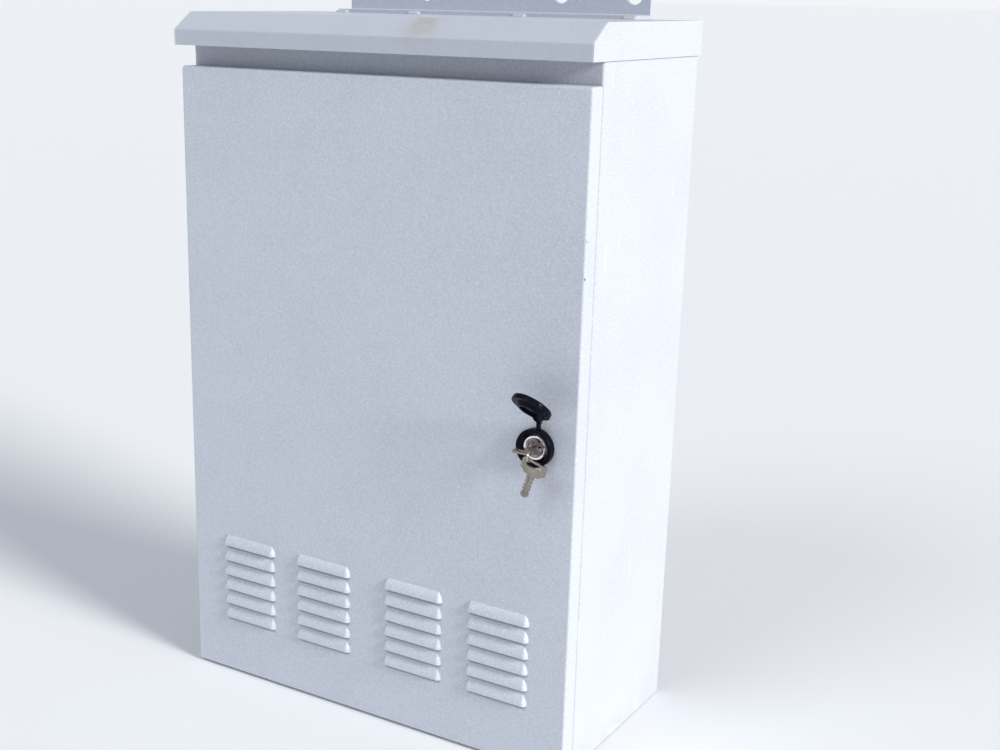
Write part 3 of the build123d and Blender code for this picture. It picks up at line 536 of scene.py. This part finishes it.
stud_row("plate_studs", "cabinet", plate_places, 1, 4.0, 1.25, **to_door)
nut_row("plate_nuts", "cabinet", plate_places, 1, 13.0, **to_door)
washer_places = at_depth(plate_places, 1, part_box("plate_washers")[1].y)
washers = set_out(washer(8.0, 4.1, 1.6), washer_places, **to_door)
finished(washers, "zinc_plate_washers", fastener_zinc, "cabinet", "plate_washers")
sheet_copy("plate_spacers", "cabinet", "zinc_plate_spacers", fastener_zinc)
stud_row("gland_studs", "cabinet", gland_places, 2, 2.0, 0.7)
nut_row("gland_nuts", "cabinet", gland_places, 2, 7.0)
stud_row("grille_studs", "door", grille_places, 1, 2.0, 0.7, **to_wall)
nut_row("grille_nuts", "door", grille_places, 1, 7.0, **to_wall)
stud_row("box_earth_stud", "cabinet", middle("box_earth_stud"), 1, 3.0, 1.0, **to_door)
nut_row("box_earth_nut", "cabinet", middle("box_earth_stud"), 1, 10.0, **to_door)
stud_row("door_earth_stud", "door", middle("door_earth_stud"), 1, 3.0, 1.0, **to_wall)
nut_row("door_earth_nut", "door", middle("door_earth_stud"), 1, 10.0, **to_wall)


# Mounting plate, filter grille, hinge pins and gland plate: the first two are cut from galvanised sheet,
# whose zinc has frozen in broad crystals. The pins are plated like the studs, and the gland plate is painted.
sheet_zinc = zinc_plate("sheet_zinc", 110.0)
sheet_copy("mounting_plate", "cabinet", "zinc_mounting_plate", sheet_zinc)
sheet_copy("filter_grille", "door", "zinc_filter_grille", sheet_zinc)
sheet_copy("hinge_pins", "door", "zinc_hinge_pins", fastener_zinc)
sheet_copy("gland_plate", "cabinet", "painted_gland_plate", box_coat)


# Seals: closed-cell black foam, a cut frame under the gland plate and a poured, rounded bead on the door.
def foam_rubber(name, dark, light, cells):
    """Soft matt rubber, pitted by its cells."""
    place, vary = finish(name, Specular_IOR_Level=0.3)
    level = place.cells(cells).between(0.0, 0.5)
    return vary(
        Base_Color=level.colour(dark, light),
        Roughness=0.7 + 0.2 * level,
        Normal=place.bump(level, 0.4, 0.0003),
    )


foam = foam_rubber("seal_foam", rgb(28, 28, 30), rgb(52, 52, 55), 1100.0)
sheet_copy("door_gasket", "door", "foam_gasket", foam)
sheet_copy("gland_seal", "cabinet", "foam_gland_seal", foam)


# Cable grommets: moulded black rubber, snapped into the gland plate. Each is closed by a thin skin with
# raised steps, which are guides for cutting it to a cable's size.
grommet_rings = [
    (2.0, 0.25), (12.6, 0.25), (13.0, -0.1), (13.0, -1.9), (13.3, -2.2), (19.7, -2.2), (20.0, -1.9),
    (20.0, 0.0), (16.0, 0.0), (16.0, 2.0), (20.0, 2.0), (20.0, 2.2), (18.2, 4.0), (17.7, 4.2),
    (13.4, 4.2), (13.0, 3.8), (13.0, 2.0), (12.8, 1.75), (10.6, 1.75), (10.3, 2.3), (9.1, 2.3),
    (8.8, 1.75), (6.7, 1.75), (6.4, 2.3), (5.2, 2.3), (4.9, 1.75), (2.0, 1.75),
]
gland_low, gland_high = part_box("gland_plate")
grommet_centre = (gland_low.y + gland_high.y) / 2
grommet_pitch = 0.072
grommet_places = [(step * grommet_pitch, grommet_centre, gland_low.z) for step in (-1, 0, 1)]
grommets = set_out(turned(grommet_rings, 72), grommet_places)
rubber = foam_rubber("grommet_rubber", rgb(24, 24, 25), rgb(34, 34, 35), 500.0)
finished(grommets, "rubber_grommets", rubber, "cabinet", "cable_grommets")


# Dust filter: a felted mat of off-white fibres behind the louvres, which the grille holds flat.
def felt(name):
    """Fine fibres over soft lumps."""
    place, vary = finish(name, Specular_IOR_Level=0.2)
    fibre = place.noise(700.0, 5.0, 0.8)
    lumps = place.noise(60.0, 2.0, 0.5)
    level = fibre * 0.7 + lumps * 0.3
    return vary(
        Base_Color=level.between(0.3, 0.7).colour(rgb(168, 168, 161), rgb(206, 206, 198)),
        Roughness=0.9 + 0.1 * fibre,
        Normal=place.bump(level, 0.9, 0.0012),
    )


sheet_copy("dust_filter", "door", "felt_filter", felt("filter_felt"))


# Lock bezel: glossy black moulded plastic, a round ring with a funnel mouth, and a tongue above it that
# carries the weather cap's steel pin.
lock_x, lock_z = 0.1642, 0.286
door_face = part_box("door_gasket")[0].y - 0.0015
cap_lean = math.radians(12.5)
cap_up = Vector((math.sin(cap_lean), 0, math.cos(cap_lean)))
cap_along = Vector((math.cos(cap_lean), 0, -math.sin(cap_lean)))
out_of_door = Vector((0, -1, 0))
lock_face = Vector((lock_x, door_face, lock_z))
hinge_rise = 25.5
hinge_height = 8.9
tongue_lift = 0.0054


def moulded_black(name):
    """Glossy plastic, rubbed duller in places."""
    place, vary = finish(name, Specular_IOR_Level=0.04)
    rub = place.noise(260.0, 3.0, 0.6)
    return vary(
        Base_Color=rub.colour(rgb(8, 8, 17), rgb(20, 19, 31)),
        Roughness=0.12 + 0.2 * rub.between(0.4, 0.8),
        Normal=place.bump(rub, 0.1, 0.0002),
    )


def block(low, high):
    """A block between two corners, in millimetres."""
    bpy.ops.object.select_all(action="DESELECT")
    bpy.ops.mesh.primitive_cube_add(size=1.0)
    piece = bpy.context.object
    bpy.ops.object.mode_set(mode="EDIT")
    bpy.ops.mesh.select_all(action="SELECT")
    bpy.ops.transform.resize(value=[(b - a) / 1000 for a, b in zip(low, high)])
    bpy.ops.transform.translate(value=[(a + b) / 2000 for a, b in zip(low, high)])
    bpy.ops.object.mode_set(mode="OBJECT")
    return piece


def pick_edges(piece, chosen):
    """Selects the edges whose middle and direction, in millimetres, the function chosen accepts."""
    alone(piece)
    bpy.ops.object.mode_set(mode="EDIT")
    bpy.ops.mesh.select_mode(type="EDGE")
    bpy.ops.mesh.select_all(action="DESELECT")
    bpy.ops.object.mode_set(mode="OBJECT")
    for edge in piece.data.edges:
        start, end = (piece.data.vertices[v].co * 1000 for v in edge.vertices)
        edge.select = chosen((start + end) / 2, (end - start).normalized())
    bpy.ops.object.mode_set(mode="EDIT")


def rounded(piece, radius, segments, chosen):
    """A piece with the chosen edges rounded."""
    pick_edges(piece, chosen)
    bpy.ops.mesh.bevel(offset=radius / 1000, segments=segments, affect="EDGES")
    bpy.ops.object.mode_set(mode="OBJECT")
    return piece


def eased(piece, radius, segments=2, angle=40):
    """A piece with all its sharp edges broken."""
    alone(piece)
    ease = piece.modifiers.new("ease", "BEVEL")
    ease.width = radius / 1000
    ease.segments = segments
    ease.limit_method = "ANGLE"
    ease.angle_limit = math.radians(angle)
    bpy.ops.object.modifier_apply(modifier=ease.name)
    return piece


def joined(first, *others):
    """Several pieces as one."""
    alone(first)
    for other in others:
        other.select_set(True)
    bpy.ops.object.join()
    return first


def quarter(radius, height, turn):
    """Rings round a turned corner, from the side up to the top, about a centre."""
    angles = [math.radians(degrees) for degrees in range(0, 91, 18)]
    return [(radius + turn * math.cos(angle), height + turn * math.sin(angle)) for angle in angles]


bezel_rings = [(9.1, 0.0), (15.8, 0.0), (16.0, 0.2)]
bezel_rings += quarter(14.4, 5.4, 1.6)
bezel_rings += [(13.6, 7.0), (13.2, 6.85), (12.95, 6.5), (10.8, 4.2), (10.4, 3.85), (10.1, 3.75)]
bezel_rings += [(10.1, 1.6), (9.1, 1.6), (9.1, 0.0)]
tongue = block((-1.5, 14.4, 1.8), (1.5, 25.6, 5.2))
pick_edges(tongue, lambda at, way: at.y > 25)
bpy.ops.transform.translate(value=(0, 0, tongue_lift))
bpy.ops.object.mode_set(mode="OBJECT")
knuckle = set_out(
    turned([(1.9, 0), (2.2, 0.3), (2.2, 2.7), (1.9, 3.0)], 32),
    [(-0.0015, hinge_rise / 1000, hinge_height / 1000)],
    along=(1, 0, 0),
    across=(0, 1, 0),
)
bezel = joined(turned(bezel_rings, 96, hollow=True), eased(tongue, 0.35), knuckle)
bezel = set_out(bezel, [lock_face], along=out_of_door, across=cap_along)
black = moulded_black("moulded_black")
finished(bezel, "black_bezel", black, "door", "lock_bezel", angle=30)


# Cap pin: a short plated steel pin through the tongue and the cap's two arms, its ends just rounded.
def plated(name, low, high, rough, haze_size=320.0):
    """Plated metal with a faint haze; rough is the roughness where it is clearest."""
    place, vary = finish(name, Metallic=1.0)
    haze = place.noise(haze_size, 4.0, 0.65)
    return vary(
        Base_Color=haze.colour(low, high),
        Roughness=rough + 0.12 * haze.between(0.4, 0.75),
        Normal=place.bump(haze, 0.1, 0.00012),
    )


chrome = plated("lock_chrome", rgb(224, 222, 226), rgb(246, 245, 247), 0.06)
worn_chrome = plated("worn_chrome", rgb(112, 104, 112), rgb(176, 168, 174), 0.16)
knuckle_radius = 2.2
cap_hinge = lock_face + cap_up * hinge_rise / 1000
cap_hinge.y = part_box("lock_bezel")[0].y + knuckle_radius / 1000
pin_rings = [(0.5, -3.45), (0.9, -3.25), (0.9, 3.25), (0.5, 3.45)]
pin = set_out(turned(pin_rings, 32), [cap_hinge], along=cap_along, across=cap_up)
finished(pin, "steel_cap_pin", chrome, "door", "cap_pin")


# Weather cap: the same black plastic, a slightly domed disc with a tapered plug on its inner side that
# presses into the bezel's mouth, standing open on two arms.
cap_open = math.radians(130)
cap_reach = out_of_door * math.sin(cap_open) - cap_up * math.cos(cap_open)
cap_normal = out_of_door * math.cos(cap_open) + cap_up * math.sin(cap_open)
cap_rings = [(3.0, -2.4), (7.3, -2.4), (7.6, -2.6), (7.6, -3.9), (7.9, -4.2), (9.5, -4.2), (9.9, -3.9)]
cap_rings += [(12.3, -1.9), (12.8, -1.6), (16.1, -1.6), (16.6, -1.45), (16.8, -1.1), (16.8, 1.2)]
cap_rings += quarter(15.2, 1.4, 1.6)
cap_rings += [(11.0, 3.15), (6.0, 3.25), (1.5, 3.3)]
cap_arms = []
for side in (-1, 1):
    left, right = sorted((side * 1.7, side * 3.3))
    arm = block((left, 14.6, -1.6), (right, 27.2, 1.6))
    arm = rounded(arm, 1.55, 6, lambda at, way: at.y > 27 and abs(way.x) > 0.9)
    cap_arms.append(eased(arm, 0.15))
cap = joined(turned(cap_rings, 96), *cap_arms)
cap = set_out(cap, [cap_hinge + cap_reach * hinge_rise / 1000], along=cap_normal, across=cap_along)
finished(cap, "black_cap", black, "cap", "lock_cap", angle=30)


# Lock barrel: die-cast zinc, chromed, with a ringed head in the bezel and a threaded shank with two flats
# that keep it from turning in the door.
barrel_rings = [(6.55, -18.9), (8.6, -18.9)]
for turn in range(16):
    barrel_rings += [(9.0, turn - 18.4), (8.5, turn - 17.9)]
barrel_rings += [(9.0, -1.6), (9.0, 1.6), (9.9, 1.6), (10.0, 1.7)]
barrel_rings += quarter(9.6, 3.4, 0.4)
barrel_rings += [(8.4, 3.8), (8.1, 3.65), (8.0, 3.3), (8.0, 2.8), (6.55, 2.8), (6.55, -18.9)]
barrel = turned(barrel_rings, 96, hollow=True)
for side in (-1, 1):
    front, back = sorted((side * 8, side * 12))
    barrel = trimmed(barrel, block((-12, front, -20), (12, back, 1.6)), "DIFFERENCE")
barrel = set_out(barrel, [lock_face], along=out_of_door, across=(-1, 0, 0))
finished(barrel, "chrome_barrel", chrome, "door", "lock_barrel", angle=30)


# Washer and nut behind the door, which clamp the lock, and the cam with its washer and screw: zinc plated.
lock_nut_height = 4.5
lock_nut_foot = middle("lock_nut")[0] - Vector((0, lock_nut_height / 2000, 0))
lock_nut = set_out(hex_nut(24.0, lock_nut_height), [lock_nut_foot], **to_wall)
lock_bore = set_out(turned([(9.05, -10), (9.05, 20)], 64), [lock_face], **to_wall)
lock_nut = trimmed(lock_nut, lock_bore, "DIFFERENCE")
finished(lock_nut, "zinc_lock_nut", fastener_zinc, "door", "lock_nut")
lock_ring = set_out(washer(12.5, 9.1, 1.0), [(lock_x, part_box("lock_washer")[0].y, lock_z)], **to_wall)
finished(lock_ring, "zinc_lock_washer", fastener_zinc, "door", "lock_washer")
for node in ("cam", "cam_washer", "cam_screw"):
    sheet_copy(node, "lock_core", "zinc_" + node, fastener_zinc)


# Lock plug: chromed, turned with a shallow groove round its face and slotted for the flat key.
plug_tail = (door_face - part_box("lock_plug")[1].y) * 1000
plug_rings = [(6.5, plug_tail + 2.3), (6.5, 2.9), (7.8, 2.9), (7.8, 4.1), (7.5, 4.4), (6.0, 4.4), (5.8, 4.1)]
plug_rings += [(5.7, 3.3), (5.1, 3.1), (1.5, 3.0)]
plug = turned(plug_rings, 96)
keyway = block((-3.45, -1.1, -12.5), (3.45, 1.1, 6))
plug = eased(trimmed(plug, keyway, "DIFFERENCE"), 0.12, 1, 60)
square_tail = block((-3.5, -3.5, plug_tail), (3.5, 3.5, plug_tail + 2.4))
plug = joined(plug, square_tail)
plug = set_out(plug, [lock_face], along=out_of_door, across=(-1, 0, 0))
finished(plug, "chrome_plug", worn_chrome, "lock_core", "lock_plug", angle=30)


# Keys: flat brass blanks, nickel plated and worn yellowish, with a slotted square bow, a milled groove
# along the blade and cuts on both of its edges. One is in the lock, the other hangs from a wire ring.
half_thick = 0.9
half_bow = 11.0
bow_end = -12.5
bow_shoulder = 0.004
neck_share = 0.51
half_blade = 3.25
blade_end = -32.5
key_cuts = ((4.6, 1.0), (7.8, 1.5), (11.0, 0.8), (14.2, 1.3))
half_notch = 0.9
notch_corner = 1.27


def flat_key():
    """A key in the XY plane, with the middle of its bow's outer edge at the origin and its blade along -Y."""
    bow = block((-half_bow, bow_end, -half_thick), (half_bow, 0.0, half_thick))
    alone(bow)
    bpy.ops.object.mode_set(mode="EDIT")
    bpy.ops.mesh.select_mode(type="FACE")
    bpy.ops.mesh.select_all(action="DESELECT")
    bpy.ops.object.mode_set(mode="OBJECT")
    for face in bow.data.polygons:
        face.select = face.normal.y < -0.9
    bpy.ops.object.mode_set(mode="EDIT")
    bpy.ops.transform.translate(value=(0, bow_shoulder, 0))
    bpy.ops.mesh.extrude_region_move(TRANSFORM_OT_translate={"value": (0, -bow_shoulder, 0)})
    bpy.ops.transform.resize(value=(neck_share, 1, 1))
    bpy.ops.object.mode_set(mode="OBJECT")
    bow = rounded(bow, 2.5, 6, lambda at, way: abs(way.z) > 0.9 and abs(at.x) > half_bow - 0.5 and at.y > -1)
    blade = block((-half_blade, blade_end, -half_thick), (half_blade, bow_end + 0.1, half_thick))
    blade = rounded(blade, 1.8, 1, lambda at, way: abs(way.z) > 0.9 and at.y < blade_end + 0.5)
    key = trimmed(bow, blade, "UNION")
    slot = block((-7.0, -6.0, -3), (7.0, -1.8, 3))
    slot = rounded(slot, 2.05, 8, lambda at, way: abs(way.z) > 0.9)
    key = trimmed(key, slot, "DIFFERENCE")
    for along_blade, depth in key_cuts:
        for side in (-1, 1):
            notch = block((-half_notch, -half_notch, -3), (half_notch, half_notch, 3))
            from_middle = side * (half_blade + notch_corner - depth)
            notch_place = (from_middle / 1000, (bow_end - along_blade) / 1000, 0)
            notch = set_out(notch, [notch_place], across=(1, 1, 0))
            key = trimmed(key, notch, "DIFFERENCE")
    for side in (-1, 1):
        surface = side * half_thick
        groove = block((-0.6, blade_end - 1.0, surface - 0.45), (0.6, bow_end - 1.1, surface + 0.45))
        key = trimmed(key, groove, "DIFFERENCE")
    return eased(key, 0.16, 2, 35)


nickel = plated("key_nickel", rgb(106, 100, 96), rgb(180, 173, 163), 0.24, 170.0)
key_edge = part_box("key")[0].y
lock_key = set_out(flat_key(), [(lock_x, key_edge, lock_z)], along=(0, 0, 1), across=(-1, 0, 0))
finished(lock_key, "nickel_key", nickel, "lock_core", "key", angle=30)
ring_low, ring_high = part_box("key_ring")
spare_lean = math.radians(18)
spare_along = Vector((math.cos(spare_lean), 0, -math.sin(spare_lean)))
spare_up = Vector((math.sin(spare_lean), 0, math.cos(spare_lean)))
ring_middle = (ring_low + ring_high) / 2
ring_radius = 4.0
bow_middle_aside = 0.005
bow_edge_above = 0.0028
spare_pivot = ring_middle - Vector((0, 0, ring_radius / 1000))
spare_edge = spare_pivot + spare_along * bow_middle_aside + spare_up * bow_edge_above
spare_key = set_out(flat_key(), [spare_edge], along=(0, -1, 0), across=spare_along)
finished(spare_key, "nickel_spare_key", nickel, "spare", "spare_key", angle=30)


# Key ring: one turn of plated wire, its blunt ends a hair apart.
wire_radius = 0.5
wire_turn = math.radians(354)
bpy.ops.object.select_all(action="DESELECT")
bpy.ops.mesh.primitive_circle_add(vertices=20, radius=wire_radius / 1000, fill_type="NGON")
ring = bpy.context.object
bpy.ops.object.mode_set(mode="EDIT")
bpy.ops.mesh.select_all(action="SELECT")
bpy.ops.transform.translate(value=(ring_radius / 1000, 0, 0))
bpy.ops.mesh.spin(steps=72, angle=wire_turn, center=(0, 0, 0), axis=(0, 1, 0))
bpy.ops.mesh.select_all(action="SELECT")
bpy.ops.mesh.remove_doubles(threshold=0.000001)
bpy.ops.mesh.normals_make_consistent(inside=False)
bpy.ops.object.mode_set(mode="OBJECT")
ring = set_out(ring, [ring_middle], along=(0, 0, 1), across=(0, 1, 0))
ring_wire = plated("ring_wire", rgb(170, 168, 164), rgb(214, 212, 208), 0.18)
finished(ring, "wire_ring", ring_wire, "ring", "key_ring")


# Floor and light: a pale floor, a hair below the cabinet's underside so that their faces don't coincide, a
# broad bright window on the right and soft cool daylight all round.
floor_width = 400.0
floor_drop = 0.0005
room_light = (0.37, 0.40, 0.45, 1.0)
room_seen = (0.90, 0.91, 0.93, 1.0)
bpy.ops.object.select_all(action="DESELECT")
bpy.ops.mesh.primitive_plane_add(size=floor_width, location=(0.0, 0.0, -floor_drop))
floor = bpy.context.object
floor.name = "pale_floor"
floor_finish = bpy.data.materials.new("pale_floor")
floor_finish.use_nodes = True
floor_shader = floor_finish.node_tree.nodes["Principled BSDF"]
floor_shader.inputs["Base Color"].default_value = rgb(232, 233, 235)
floor_shader.inputs["Roughness"].default_value = 0.9
floor.data.materials.append(floor_finish)


def window(name, towards, level, softness, colour):
    """A far soft light; level is what a white surface square to it shows."""
    data = bpy.data.lights.new(name, "SUN")
    data.energy = level * math.pi
    data.angle = math.radians(softness)
    data.color = colour
    light = bpy.data.objects.new(name, data)
    bpy.context.scene.collection.objects.link(light)
    light.rotation_euler = Vector(towards).to_track_quat("Z", "Y").to_euler()


window("right_window", (0.91, -0.13, 0.40), 1.22, 18.0, (1.0, 0.985, 0.95))
window("front_daylight", (-0.25, -0.70, 0.67), 0.24, 25.0, (0.92, 0.97, 1.0))

world = bpy.data.worlds.new("studio")
bpy.context.scene.world = world
world.use_nodes = True
tree = world.node_tree
sky = tree.nodes["Background"]
camera_ray = Shade(tree).add("ShaderNodeLightPath", output="Is Camera Ray")
glossy_ray = Shade(tree, camera_ray.socket.node.outputs["Is Glossy Ray"])
through_ray = Shade(tree, camera_ray.socket.node.outputs["Is Transmission Ray"])
seen = camera_ray.worked("MAXIMUM", camera_ray.worked("MAXIMUM", camera_ray, glossy_ray), through_ray)
tree.links.new(seen.colour(room_light, room_seen).socket, sky.inputs["Color"])
